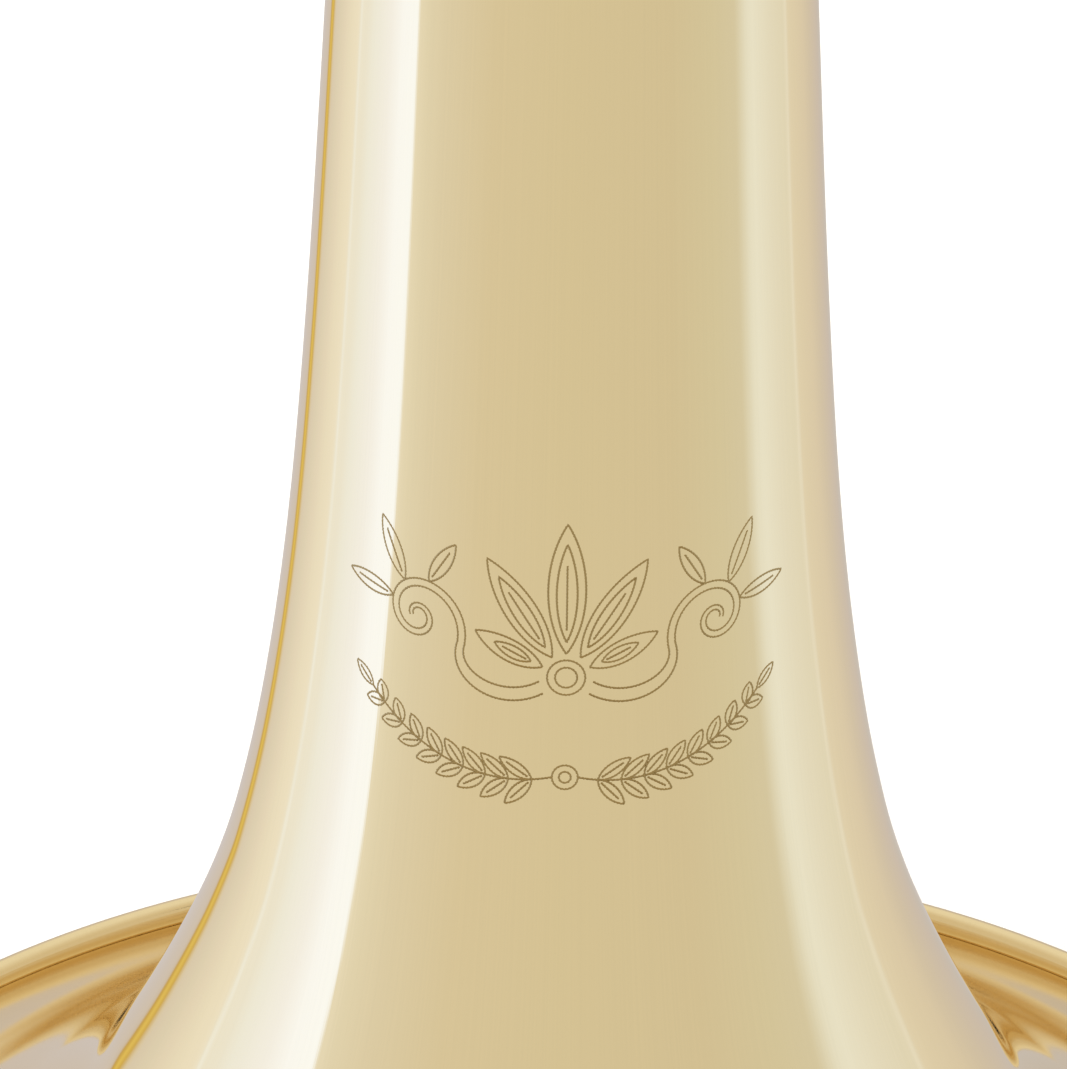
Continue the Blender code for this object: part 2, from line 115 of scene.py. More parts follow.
class BellSectionSizes(bpy.types.PropertyGroup):
    """Sizes of what the frame leaves to the maker."""

    wall: length_setting("Bell wall", "Thickness of the bell's sheet", 0.00045, 0.0002, 0.001)
    bead: length_setting("Rim bead radius", "Radius of the rolled edge", 0.0016, 0.0008, 0.0025)
    engraving_width: length_setting("Engraved line", "Width of an engraved line", 0.00028, 0.0001, 0.0005)
    segments: count_setting("Bell segments", "Steps round the bell", 384, 96, 720)
    tube_segments: count_setting("Tube segments", "Steps round the tubes and fittings", 128, 48, 360)


class BellSectionColours(bpy.types.PropertyGroup):
    """Colours of the metals and of the floor."""

    brass: colour_setting("Lacquered brass", "Colour of the lacquered yellow brass", (0.87, 0.71, 0.43))
    nickel: colour_setting("Nickel silver", "Colour of the ferrules and slide tubes", (0.68, 0.65, 0.59))
    steel: colour_setting("Steel", "Colour of the screws and the rim wire", (0.58, 0.57, 0.56))
    engraving: colour_setting("Engraved line", "Colour of the darkened lines", (0.50, 0.355, 0.15))
    floor: colour_setting("Floor", "Colour of the studio floor", (0.93, 0.93, 0.93))


def sizes():
    return bpy.context.scene.bell_section_sizes


def colours():
    return bpy.context.scene.bell_section_colours


# -------- curves and outlines
CURL_START = math.radians(-108)
CURL_END = math.radians(204)


def bead_arc(radius, steps=44):
    """Points of the rolled edge, from its joint with the flare round to its tip."""
    x, z = RIM_RADIUS - sizes().bead, sizes().bead
    turn = (CURL_END - CURL_START) / steps
    angles = [CURL_START + turn * step for step in range(steps + 1)]
    return [(x + radius * math.cos(angle), z + radius * math.sin(angle)) for angle in angles]


def bell_stations():
    """The stations, with one more in front where the sheet's outer face runs into the curl."""
    x, z = bead_arc(sizes().bead - sizes().wall)[0]
    return ((z, x),) + BELL_STATIONS


def bell_radius(height):
    """The bell's outer radius at a height, on a smooth curve through the stations."""
    stations = bell_stations()
    last = len(stations) - 1
    index = 0
    while index < last - 1 and height > stations[index + 1][0]:
        index += 1

    def slope(at):
        low = max(at - 1, 0)
        high = min(at + 1, last)
        return (stations[high][1] - stations[low][1]) / (stations[high][0] - stations[low][0])

    (z0, r0), (z1, r1) = stations[index], stations[index + 1]
    span = z1 - z0
    t = (height - z0) / span
    return (
        r0 * (1 + 2 * t) * (1 - t) ** 2
        + span * slope(index) * t * (1 - t) ** 2
        + r1 * t * t * (3 - 2 * t)
        + span * slope(index + 1) * t * t * (t - 1)
    )


def bell_slope(height, step=0.0001):
    return (bell_radius(height + step) - bell_radius(height - step)) / (2 * step)


def inner_point(height):
    """The point of the inner face behind the outer face at a height."""
    slope = bell_slope(height)
    length = math.hypot(1, slope)
    wall = sizes().wall
    return bell_radius(height) - wall / length, height + wall * slope / length


def rounded(corners, steps=5):
    """A closed outline with each corner rounded. A corner is (radius, height, rounding)."""
    outline = []
    for index, (r, z, rounding) in enumerate(corners):
        here = Vector((r, z))
        before = Vector(corners[index - 1][:2])
        after = Vector(corners[(index + 1) % len(corners)][:2])
        if not rounding:
            outline.append((r, z))
            continue
        back = (before - here).normalized()
        ahead = (after - here).normalized()
        reach = min(rounding, 0.49 * (before - here).length, 0.49 * (after - here).length)
        start = here + reach * back
        end = here + reach * ahead
        for step in range(steps + 1):
            t = step / steps
            point = start.lerp(here, t).lerp(here.lerp(end, t), t)
            outline.append((point.x, point.y))
    return outline


def both_ends(corners):
    """The corners of an outline's upper half, and the same ones mirrored to its lower half."""
    return corners + [(r, -z, rounding) for r, z, rounding in reversed(corners)]


# -------- mesh makers
SHARP_ANGLE = math.radians(38)
ALONG_X = Matrix.Rotation(math.radians(90), 4, "Y")
ALONG_Y = Matrix.Rotation(math.radians(90), 4, "X")


def new_object(name, data):
    made = bpy.data.objects.new(name, data)
    bpy.context.scene.collection.objects.link(made)
    return made


def finish_piece(name, mesh, finish):
    """Shades a mesh smooth except at its corners, and makes its object."""
    mesh.materials.append(finish)
    mesh.shade_smooth()
    mesh.set_sharp_from_angle(angle=SHARP_ANGLE)
    return new_object(name, mesh)


def new_mesh(name, verts, faces):
    """A mesh with the points that fell together joined and every face turned outwards."""
    mesh = bpy.data.meshes.new(name)
    mesh.from_pydata(verts, [], faces)
    bm = bmesh.new()
    bm.from_mesh(mesh)
    bmesh.ops.remove_doubles(bm, verts=bm.verts, dist=1e-7)
    bmesh.ops.dissolve_degenerate(bm, edges=bm.edges, dist=1e-8)
    bmesh.ops.recalc_face_normals(bm, faces=bm.faces)
    bm.to_mesh(mesh)
    bm.free()
    return mesh


def place_piece(piece, body, replaced):
    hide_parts(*replaced)
    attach(piece, body)


def ring_of(count):
    """Cosine and sine of even steps round a circle."""
    angles = [2 * math.pi * step / count for step in range(count)]
    return [(math.cos(angle), math.sin(angle)) for angle in angles]


def band(low, high, count):
    """Faces between two rings of count points. A ring is given by the index of its first point."""
    steps = [(step, (step + 1) % count) for step in range(count)]
    return [(low + step, low + after, high + after, high + step) for step, after in steps]


def revolved_mesh(name, outline, segments, radius_at=None):
    """A closed outline of (radius, height) turned about Z. radius_at(r, z, angle) may reshape it."""
    count = len(outline)
    verts = []
    for step in range(segments):
        angle = 2 * math.pi * step / segments
        cos, sin = math.cos(angle), math.sin(angle)
        for r, z in outline:
            reach = radius_at(r, z, angle) if radius_at else r
            verts.append((reach * cos, reach * sin, z))
    faces = []
    for step in range(segments):
        here = step * count
        there = (step + 1) % segments * count
        for index in range(count):
            after = (index + 1) % count
            faces.append((here + index, there + index, there + after, here + after))
    return new_mesh(name, verts, faces)


def turned(name, outline, finish, x, body, replaced, segments=None, radius_at=None):
    """An upright turned piece on the axis at x, with its origin on that axis."""
    mesh = revolved_mesh(name, outline, segments or sizes().tube_segments, radius_at)
    piece = finish_piece(name, mesh, finish)
    piece.location = (x, 0, 0)
    place_piece(piece, body, replaced)


def turned_across(name, outline, finish, centre, body, replaced):
    """A piece turned about an axis along X. The outline's heights run along X from centre."""
    mesh = revolved_mesh(name, outline, sizes().tube_segments)
    mesh.transform(ALONG_X)
    piece = finish_piece(name, mesh, finish)
    piece.location = centre
    place_piece(piece, body, replaced)


def swept_mesh(name, sections, segments):
    """A hollow tube through sections of (centre, across, outer radius, bore radius)."""
    verts = []
    for centre, across, outer, bore in sections:
        for radius in (outer, bore):
            for cos, sin in ring_of(segments):
                verts.append(centre + radius * (cos * across + sin * Vector((0, 1, 0))))
    faces = []
    ring = 2 * segments
    last = (len(sections) - 1) * ring
    for outer in range(0, last, ring):
        faces += band(outer, outer + ring, segments)
        faces += band(outer + segments, outer + segments + ring, segments)
    faces += band(0, segments, segments) + band(last, last + segments, segments)
    return new_mesh(name, verts, faces)


# -------- materials
# The rim is buffed less bright than the throat: the heights where that starts and ends, and how much.
RIM_BUFFING = (0.008, 0.032)
RIM_DULLNESS = 0.09
LACQUER = 0.12
GRAIN_STRETCH = 9.0
GRAIN_RELIEF = 0.06
CLOUD_SCALE = 38.0


class TreeMaker:
    """A node tree, with short calls that add a node and join sockets."""

    def __init__(self, tree):
        self.tree = tree

    def add(self, kind, **settings):
        node = self.tree.nodes.new(kind)
        for key, value in settings.items():
            setattr(node, key, value)
        return node

    def join(self, source, target):
        self.tree.links.new(source, target)

    def feed(self, target, value):
        """Joins a socket, or sets a plain number or colour."""
        if isinstance(value, bpy.types.NodeSocket):
            self.join(value, target)
        elif isinstance(value, (int, float)):
            target.default_value = value
        else:
            target.default_value = (*value, 1)

    def math(self, operation, *values):
        node = self.add("ShaderNodeMath", operation=operation)
        for socket, value in zip(node.inputs, values):
            self.feed(socket, value)
        return node.outputs[0]

    def vector_math(self, operation, first, second=None):
        node = self.add("ShaderNodeVectorMath", operation=operation)
        self.join(first, node.inputs[0])
        if isinstance(second, bpy.types.NodeSocket):
            self.join(second, node.inputs[1])
        elif second:
            node.inputs[1].default_value = second
        return node.outputs["Vector"]

    def remap(self, value, from_low, from_high, low, high):
        node = self.add("ShaderNodeMapRange")
        for socket, number in zip(node.inputs, (value, from_low, from_high, low, high)):
            self.feed(socket, number)
        return node.outputs["Result"]

    def mix(self, factor, first, second, blend="MIX"):
        node = self.add("ShaderNodeMix", data_type="RGBA", blend_type=blend)
        self.feed(node.inputs["Factor"], factor)
        self.feed(node.inputs["A"], first)
        self.feed(node.inputs["B"], second)
        return node.outputs["Result"]

    def ramp(self, factor, stops, top):
        """Colours along a factor from 0 to 1. A stop is a place on the stops' own scale, and a red, a
        green and a blue of which top is the most."""
        node = self.add("ShaderNodeValToRGB")
        self.join(factor, node.inputs["Fac"])
        elements = node.color_ramp.elements
        while len(elements) < len(stops):
            elements.new(0.5)
        start, end = stops[0][0], stops[-1][0]
        for element, (place, *colour) in zip(elements, stops):
            element.position = (place - start) / (end - start)
            element.color = (*[part / top for part in colour], 1)
        return node.outputs["Color"]

    def noise(self, vector, scale, detail=2.0, roughness=0.5):
        node = self.add("ShaderNodeTexNoise")
        node.inputs["Scale"].default_value = scale
        node.inputs["Detail"].default_value = detail
        node.inputs["Roughness"].default_value = roughness
        self.join(vector, node.inputs["Vector"])
        return node.outputs["Fac"]


class FinishMaker(TreeMaker):
    """A new material's node tree and its Principled shader."""

    def __init__(self, name):
        self.material = bpy.data.materials.new(name)
        self.material.use_nodes = True
        super().__init__(self.material.node_tree)
        self.shader = self.tree.nodes["Principled BSDF"]

    def tinted(self, colour, factor, darker):
        """The colour, mixed towards darker times itself by a factor."""
        return self.mix(factor, colour, [part * darker for part in colour])


def lengthwise_grain(nodes, along, lines):
    """A vector whose noise runs as fine lines along a turned piece's axis, and closes round it."""
    place = nodes.add("ShaderNodeTexCoord").outputs["Object"]
    mask = (0, 1, 1) if along == "X" else (1, 1, 0)
    unit = nodes.vector_math("NORMALIZE", nodes.vector_math("MULTIPLY", place, mask))
    round_it = nodes.vector_math("MULTIPLY", unit, (lines, lines, lines))
    lengthwise = nodes.vector_math("MULTIPLY", place, [GRAIN_STRETCH * (1 - part) for part in mask])
    return nodes.vector_math("ADD", round_it, lengthwise), place


def metal(name, colour, rough_low, rough_high, lines, grain=0.045, coat=0.0, along="Z", rim=0.0):
    """Buffed metal: lines of grain along the piece, soft clouding, lacquer where coat is set, and a
    duller buffing near the rim where rim is set."""
    nodes = FinishMaker(name)
    lined, place = lengthwise_grain(nodes, along, lines)
    fine = nodes.noise(lined, scale=1.0, detail=3.0, roughness=0.6)
    cloud = nodes.noise(place, scale=CLOUD_SCALE)
    nodes.join(nodes.tinted(colour, fine, 1 - grain), nodes.shader.inputs["Base Color"])
    rough = nodes.remap(cloud, 0, 1, rough_low, rough_high)
    if rim:
        parts = nodes.add("ShaderNodeSeparateXYZ")
        nodes.join(place, parts.inputs[0])
        rough = nodes.math("ADD", rough, nodes.remap(parts.outputs["Z"], *RIM_BUFFING, rim, 0.0))
    nodes.join(rough, nodes.shader.inputs["Roughness"])
    nodes.shader.inputs["Metallic"].default_value = 1.0
    nodes.shader.inputs["Coat Weight"].default_value = coat
    nodes.shader.inputs["Coat Roughness"].default_value = 0.02
    nodes.shader.inputs["Coat IOR"].default_value = 1.5
    raised = nodes.add("ShaderNodeBump")
    raised.inputs["Strength"].default_value = GRAIN_RELIEF
    raised.inputs["Distance"].default_value = 0.00002
    nodes.join(fine, raised.inputs["Height"])
    nodes.join(raised.outputs["Normal"], nodes.shader.inputs["Normal"])
    return nodes.material


def finish_named(name):
    """One of the finishes. All of them are made at the first call."""
    made = bpy.data.materials
    if "bell_brass" not in made:
        chosen = colours()
        metal("bell_brass", chosen.brass, 0.012, 0.028, lines=190, coat=LACQUER, rim=RIM_DULLNESS)
        metal("tube_brass", chosen.brass, 0.02, 0.04, lines=60, coat=LACQUER)
        metal("stay_brass", chosen.brass, 0.03, 0.05, lines=24, along="X", coat=LACQUER)
        metal("nickel_silver", chosen.nickel, 0.05, 0.09, grain=0.06, lines=50)
        metal("flange_nickel", chosen.nickel, 0.05, 0.09, grain=0.06, lines=20, along="X")
        metal("screw_steel", chosen.steel, 0.16, 0.26, grain=0.06, lines=14)
        engraved = metal("engraved_line", chosen.engraving, 0.32, 0.45, grain=0.35, lines=260)
        engraved.node_tree.nodes["Principled BSDF"].inputs["Specular IOR Level"].default_value = 0.3
    return made[name]


# -------- the bell
class BellFlareOperator(bpy.types.Operator):
    """Spin the flare, with its edge rolled back round the rim wire"""

    bl_idname = "bell_section.flare"
    bl_label = "Bell Flare"

    def execute(self, context):
        wall, bead = sizes().wall, sizes().bead
        low = bell_stations()[0][0]
        steps = 220
        heights = [low + (STEM_JOINT - low) * (1 - step / steps) ** 2 for step in range(steps + 1)]
        outside = [(bell_radius(height), height) for height in heights]
        inside = [inner_point(height) for height in heights]
        outline = outside[:-1] + bead_arc(bead - wall) + bead_arc(bead)[::-1] + inside[-2::-1]
        turned(
            "spun_flare", outline, finish_named("bell_brass"), BELL_X, "bell_section",
            ["bell_flare"], sizes().segments,
        )
        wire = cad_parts["rim_wire"]
        wire.data.materials.clear()
        wire.data.materials.append(finish_named("screw_steel"))
        return {"FINISHED"}


class BellStemOperator(bpy.types.Operator):
    """Draw the long stem that carries the flare up to the tuning slide"""

    bl_idname = "bell_section.stem"
    bl_label = "Bell Stem"

    def execute(self, context):
        steps = 60
        gap = 0.00004
        bottom = STEM_JOINT + gap
        heights = [bottom + (STEM_TOP - bottom) * step / steps for step in range(steps, -1, -1)]
        outside = [(bell_radius(height), height) for height in heights]
        inside = [(radius - sizes().wall, height) for radius, height in outside]
        turned(
            "drawn_stem", outside + inside[::-1], finish_named("bell_brass"), BELL_X, "bell_section",
            ["bell_stem"], sizes().segments,
        )
        return {"FINISHED"}


# -------- the engraving
# The ornament is drawn flat, in millimetres from its own centre, and then laid on the bell with that
# centre at a distance round the front and a height.
ORNAMENT_PLACE = (0.0003, 0.1077)
PALMETTE_HEART = Vector((0, 1.0))
TIE_HEART = (0, -9.9)


def on_bell(across, height, sunk):
    """The point on the bell's front, at a distance round it and a height, sunk below the surface."""
    radius = bell_radius(height)
    angle = across / radius
    slope = bell_slope(height)
    length = math.hypot(1, slope)
    reach = radius - sunk / length
    return Vector((reach * math.sin(angle), -reach * math.cos(angle), height + sunk * slope / length))


def bezier(points, steps=24):
    """A smooth line through control points, as one Bezier arc of any order."""
    line = []
    for step in range(steps + 1):
        t = step / steps
        level = [Vector(point) for point in points]
        while len(level) > 1:
            level = [a.lerp(b, t) for a, b in zip(level, level[1:])]
        line.append(level[0])
    return line


def leaf(root, tip, belly):
    """Outline of a leaf from root to tip, bulging by belly on both sides, and its midrib."""
    root, tip = Vector(root), Vector(tip)
    along = tip - root
    side = Vector((-along.y, along.x)).normalized() * belly
    left = bezier([root, root + along * 0.25 + side, root + along * 0.7 + side, tip])
    right = bezier([root, root + along * 0.25 - side, root + along * 0.7 - side, tip])
    rib = bezier([root + along * 0.12, root + along * 0.78], 8)
    return [left + right[-2::-1], rib]


def volute_point(scroll, t):
    """A point a share t along a spiral, and the way out from its centre there."""
    centre, start_radius, end_radius, start_angle, turns = scroll
    radius = start_radius * (end_radius / start_radius) ** t
    angle = math.radians(start_angle) + 2 * math.pi * turns * t
    way = Vector((math.cos(angle), math.sin(angle)))
    return Vector(centre) + radius * way, way


def volute(scroll, steps=60):
    """A spiral of (centre, first radius, last radius, first angle, turns)."""
    return [volute_point(scroll, step / steps)[0] for step in range(steps + 1)]


def ring_line(centre, radius):
    return volute((centre, radius, radius, 0, 1))


def petal_lines(angle, length, belly):
    """A double-cut petal of the palmette with its vein, standing out from the heart at an angle."""
    turn = math.radians(angle)
    way = Vector((math.cos(turn), math.sin(turn)))
    root = PALMETTE_HEART + way * 2.6
    inner = leaf(root + way * 1.3, root + way * (length - 2.2), belly * 0.55)
    return [leaf(root, root + way * length, belly)[0], *inner]


def scroll_lines():
    """A double-cut scroll on one side of the palmette, with leaves fanned from its back."""
    eye = (15.6, 5.4)
    outer = (eye, 5.6, 0.9, 200, -1.6)
    inner = (eye, 4.8, 0.5, 200, -1.6)
    lines = [volute(outer), volute(inner)]
    lines.append(bezier([(2.7, 0.5), (6.2, -1.7), (11.4, 0.4), volute_point(outer, 0)[0]]))
    lines.append(bezier([(2.3, -0.8), (6.8, -3.5), (12.6, -0.6), volute_point(inner, 0)[0]]))
    fan = ((0.16, 14, 5.6, 1.15), (0.235, 0, 6.8, 1.3), (0.31, -14, 6.0, 1.15))
    for share, lean, length, belly in fan:
        root, way = volute_point(outer, share)
        tilt = Matrix.Rotation(math.radians(lean), 2)
        lines += leaf(root, root + (tilt @ way) * length, belly)
    return lines


def laurel_lines():
    """One laurel spray, from the tie at the centre outwards and up."""
    stem = bezier([(1.3, -9.9), (8.0, -11.4), (15.0, -9.4), (21.0, -4.2)], 60)
    lines = [stem]
    for share in range(1, 9):
        index = share * 7 - 1
        here = stem[index]
        way = (stem[index + 1] - stem[index - 1]).normalized()
        normal = Vector((-way.y, way.x))
        size = 4.3 - 0.24 * share
        for lean in (0.62, -0.62):
            lines += leaf(here, here + way * size * 0.75 + normal * size * lean, 0.9)
    end = (stem[-1] - stem[-2]).normalized()
    return lines + leaf(stem[-1], stem[-1] + end * 3.0, 0.8)


def tie_lines():
    """The double ring that holds the two sprays."""
    return [ring_line(TIE_HEART, 1.3), ring_line(TIE_HEART, 0.6)]


def mirrored(lines):
    return lines + [[Vector((-point.x, point.y)) for point in line] for line in lines]


def ornament_lines():
    lines = petal_lines(90, 14.2, 2.5)
    lines += [ring_line(PALMETTE_HEART, 1.9), ring_line(PALMETTE_HEART, 1.1)]
    lines += mirrored(petal_lines(57, 12.2, 2.2) + petal_lines(25, 7.6, 1.6))
    return lines + mirrored(scroll_lines() + laurel_lines()) + tie_lines()


def wriggled(line):
    """A line cut in short even steps, with the graver rocked a little at each one."""
    step, rock = 0.16, 0.018
    points = []
    left = 0.0
    for here, there in zip(line, line[1:]):
        length = (there - here).length
        if not length:
            continue
        along = (there - here) / length
        side = Vector((-along.y, along.x))
        while left < length:
            place = len(points)
            shift = rock * (1 if place % 2 else -1) * (1.0 + 0.6 * math.sin(place * 0.7))
            points.append(here + along * left + side * shift)
            left += step
        left -= length
    points.append(line[-1])
    return points


class EngravingOperator(bpy.types.Operator):
    """Cut the ornament's fine lines into the bell's front"""

    bl_idname = "bell_section.engraving"
    bl_label = "Engraving"

    def execute(self, context):
        across, height = ORNAMENT_PLACE
        half_width = sizes().engraving_width / 2
        sunk = half_width * 0.6
        curve = bpy.data.curves.new("engraved_lines", "CURVE")
        curve.dimensions = "3D"
        curve.bevel_depth = half_width
        curve.bevel_resolution = 2
        curve.use_fill_caps = True
        for line in ornament_lines():
            cut = wriggled(line)
            spline = curve.splines.new("POLY")
            spline.points.add(len(cut) - 1)
            for index, (point, flat) in enumerate(zip(spline.points, cut)):
                point.co = (*on_bell(across + flat.x / 1000, height + flat.y / 1000, sunk), 1)
                point.radius = 1.0 + 0.10 * math.sin(index * 2.3)
        curve_piece = new_object("engraving_curve", curve)
        depsgraph = bpy.context.evaluated_depsgraph_get()
        mesh = bpy.data.meshes.new_from_object(curve_piece.evaluated_get(depsgraph))
        bpy.data.objects.remove(curve_piece)
        mesh.name = "engraved_ornament"
        piece = finish_piece("engraved_ornament", mesh, finish_named("engraved_line"))
        piece.location = (BELL_X, 0, 0)
        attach(piece, "bell_section")
        return {"FINISHED"}


# -------- the tuning slide and its tubes
# JOIN is the gap that solder or a press fit leaves between two pieces.
JOIN = 0.00002
TUBE_WALL = 0.0006


def sleeve_outline(bottom, top, bore, outer, edge, rings=()):
    """A sleeve's outline, with rounded ends and raised rings of (height, half width, rise)."""
    corners = [(bore, top, 0), (outer, top, edge)]
    for height, half, rise in sorted(rings, reverse=True):
        corners += [
            (outer, height + half, half * 0.3),
            (outer + rise, height + half * 0.7, rise),
            (outer + rise, height - half * 0.7, rise),
            (outer, height - half, half * 0.3),
        ]
    corners += [(outer, bottom, edge), (bore, bottom, 0)]
    return rounded(corners)


def nickel_sleeve(name, node, x, body, bore, outer, edge, rings=()):
    """A nickel silver sleeve in a node's place. A ring's height counts up from the sleeve's bottom, or
    down from its top where it is negative."""
    low, high = span_of(node)
    placed = [((low if height > 0 else high) + height, half, rise) for height, half, rise in rings]
    outline = sleeve_outline(low, high, bore, outer, edge, placed)
    turned(name, outline, finish_named("nickel_silver"), x, body, [node])


class OuterTubesOperator(bpy.types.Operator):
    """Fit the outer slide tubes, with their ferrules and end rings"""

    bl_idname = "bell_section.outer_tubes"
    bl_label = "Outer Slide Tubes"

    def execute(self, context):
        leg_play, ferrule_ring, end_ring = 0.00006, 0.00025, 0.0003
        for side, x in TUBE_SIDES.items():
            tube = f"{side}_outer_tube"
            radius = radius_of(tube)
            bore = radius_of(f"{side}_inner_leg") + leg_play
            turned(
                f"{side}_side_outer_tube", sleeve_outline(*span_of(tube), bore, radius, 0.0002),
                finish_named("tube_brass"), x, "bell_section", [tube],
            )
            node = f"{side}_tube_ferrule"
            pipe = bell_radius(span_of(node)[0]) if side == "bell" else radius_of("neckpipe")
            nickel_sleeve(
                f"{side}_side_ferrule", node, x, "bell_section", max(pipe, radius) + JOIN,
                radius_of(node) - ferrule_ring, 0.0005,
                [(0.0022, 0.0011, ferrule_ring), (-0.0022, 0.0011, ferrule_ring)],
            )
            node = f"{side}_tube_end_ring"
            nickel_sleeve(
                f"{side}_side_end_ring", node, x, "bell_section", radius + JOIN,
                radius_of(node) - end_ring, 0.0005, [(-0.0016, 0.0013, end_ring)],
            )
        return {"FINISHED"}


class TuningSlideOperator(bpy.types.Operator):
    """Fit the tuning slide's legs and ferrules, and bend its crook"""

    bl_idname = "bell_section.tuning_slide"
    bl_label = "Tuning Slide"

    def execute(self, context):
        leg_wall, ferrule_ring = 0.0005, 0.0003
        for side, x in TUBE_SIDES.items():
            leg = f"{side}_inner_leg"
            radius = radius_of(leg)
            nickel_sleeve(f"{side}_side_leg", leg, x, "tuning_slide", radius - leg_wall, radius, 0.0002)
            node = f"{side}_crook_ferrule"
            nickel_sleeve(
                f"{side}_side_crook_ferrule", node, x, "tuning_slide", radius + JOIN,
                radius_of(node) - ferrule_ring, 0.0004,
                [(0.0018, 0.0013, ferrule_ring), (-0.0012, 0.0008, 0.0002)],
            )
        self.bend_crook()
        return {"FINISHED"}

    def bend_crook(self):
        """Sweep the bow from the neck side round to the bell side, opening as it goes."""
        low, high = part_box("tuning_crook")
        bell_outer = BELL_X - low[0]
        neck_outer = high[0] - NECK_X
        bend = (NECK_X - BELL_X) / 2
        middle = (NECK_X + BELL_X) / 2
        bend_height = high[2] - bend - (bell_outer + neck_outer) / 2
        ferrule_gap = 0.0003
        bottom = low[2]
        steps = 160
        sections = [(Vector((NECK_X, 0, bottom)), Vector((1, 0, 0)), neck_outer)]
        for step in range(steps + 1):
            share = step / steps
            angle = math.pi * share
            across = Vector((math.cos(angle), 0, math.sin(angle)))
            centre = Vector((middle, 0, bend_height)) + bend * across
            outer = neck_outer + share * (bell_outer - neck_outer)
            sections.append((centre, across, outer))
        sections.append((Vector((BELL_X, 0, bottom)), Vector((-1, 0, 0)), bell_outer))
        origin = Vector((middle, 0, bottom - ferrule_gap))
        hollow = [(at - origin, across, outer, outer - TUBE_WALL) for at, across, outer in sections]
        mesh = swept_mesh("bent_crook", hollow, sizes().tube_segments)
        piece = finish_piece("bent_crook", mesh, finish_named("tube_brass"))
        piece.location = origin
        place_piece(piece, "tuning_slide", ["tuning_crook"])


# -------- braces
def saddled_flange_mesh(name, tube_radius, plate, thickness, boss, boss_length):
    """A plate wrapped on an upright tube, rising to a round boss along +X. The tube's axis is at 0."""
    bore, fillet, collar = 0.0006, 0.0016, 0.0005
    foot = boss + fillet
    # A ring is a reach from the boss's axis, a flatness from 0 (wrapped) to 1 (plane), and a lift.
    rings = [
        (plate, 0.0, 0.0),
        (plate, 0.0, thickness * 0.55),
        (plate - 0.0003, 0.0, thickness),
        (plate - 0.0007, 0.0, thickness * 1.08),
        (foot, 0.0, thickness * 1.15),
    ]
    for step in range(1, 7):
        t = step / 6
        rise = 1 - math.cos(t * math.pi / 2)
        rings.append((foot - fillet * math.sin(t * math.pi / 2), rise, thickness * 1.15 + fillet * rise))
    rings += [
        (boss, 1.0, boss_length * 0.62),
        (boss + collar, 1.0, boss_length * 0.70),
        (boss + collar, 1.0, boss_length * 0.88),
        (boss, 1.0, boss_length * 0.96),
        (boss - 0.0005, 1.0, boss_length),
        (bore, 1.0, boss_length),
    ]
    under = [(plate * share, 0.0, 0.0) for share in (0.1, 0.4, 0.75)]
    rings = under + rings
    sides = sizes().tube_segments
    verts = []
    for reach, flatness, lift in rings:
        for cos, sin in ring_of(sides):
            wrapped = math.sqrt((tube_radius + lift) ** 2 - (reach * cos) ** 2)
            out = (1 - flatness) * wrapped + flatness * (tube_radius + lift)
            verts.append((out, reach * cos, reach * sin))
    last = (len(rings) - 1) * sides
    faces = [list(range(sides)), list(range(last, last + sides))]
    for low in range(0, last, sides):
        faces += band(low, low + sides, sides)
    return new_mesh(name, verts, faces)


class BracesOperator(bpy.types.Operator):
    """Solder the flanges to the pipes and set the stays between them"""

    bl_idname = "bell_section.braces"
    bl_label = "Braces"

    def execute(self, context):
        for name, body in (
            ("lower_brace", "bell_section"),
            ("upper_brace", "bell_section"),
            ("crook_brace", "tuning_slide"),
        ):
            self.make_brace(name, body)
        return {"FINISHED"}

    def make_brace(self, name, body):
        height = centre_of(f"{name}_stay").z
        stay_low, stay_high = span_of(f"{name}_stay", 0)
        stay_radius = radius_of(f"{name}_stay")
        for side, x, facing in (("bell", BELL_X, 1), ("neck", NECK_X, -1)):
            node = f"{name}_{side}_flange"
            tube_radius = self.tube_radius(name, side, height)
            plate = radius_of(node)
            boss_end = (stay_low - BELL_X) if side == "bell" else (NECK_X - stay_high)
            mesh = saddled_flange_mesh(
                node, tube_radius + JOIN, plate, 0.0012, stay_radius + 0.0012, boss_end - tube_radius
            )
            if facing < 0:
                mesh.transform(Matrix.Rotation(math.pi, 4, "Z"))
            piece = finish_piece(f"{name}_{side}_saddle", mesh, finish_named("flange_nickel"))
            piece.location = (x, 0, height)
            place_piece(piece, body, [node])
        half = (stay_high - stay_low) / 2
        ring = 0.0007
        corners = [(0, half, 0), (stay_radius, half, 0.0003)]
        if name != "crook_brace":
            corners += [
                (stay_radius, half * 0.12, 0.0004),
                (stay_radius + ring, half * 0.10, 0.0006),
                (stay_radius + ring, half * 0.04, 0.0006),
                (stay_radius + ring * 0.3, half * 0.02, 0.0004),
            ]
        centre = ((stay_low + stay_high) / 2, 0, height)
        turned_across(
            f"{name}_bar", rounded(both_ends(corners)), finish_named("stay_brass"), centre, body,
            [f"{name}_stay"],
        )

    def tube_radius(self, name, side, height):
        if name == "crook_brace":
            low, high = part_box("tuning_crook")
            return BELL_X - low[0] if side == "bell" else high[0] - NECK_X
        return bell_radius(height) if side == "bell" else radius_of("neckpipe") - 0.0001


# -------- the balance weight
WEIGHT_SCREWS = ("weight_screw_bell", "weight_screw_neck")
SCREW_SEGMENTS = 64
HEAD_DEPTH = 0.0016
HEAD_GAP = 0.0002


def radius_of_weight():
    low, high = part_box("weight_rear_half")
    return (high[2] - low[2]) / 2


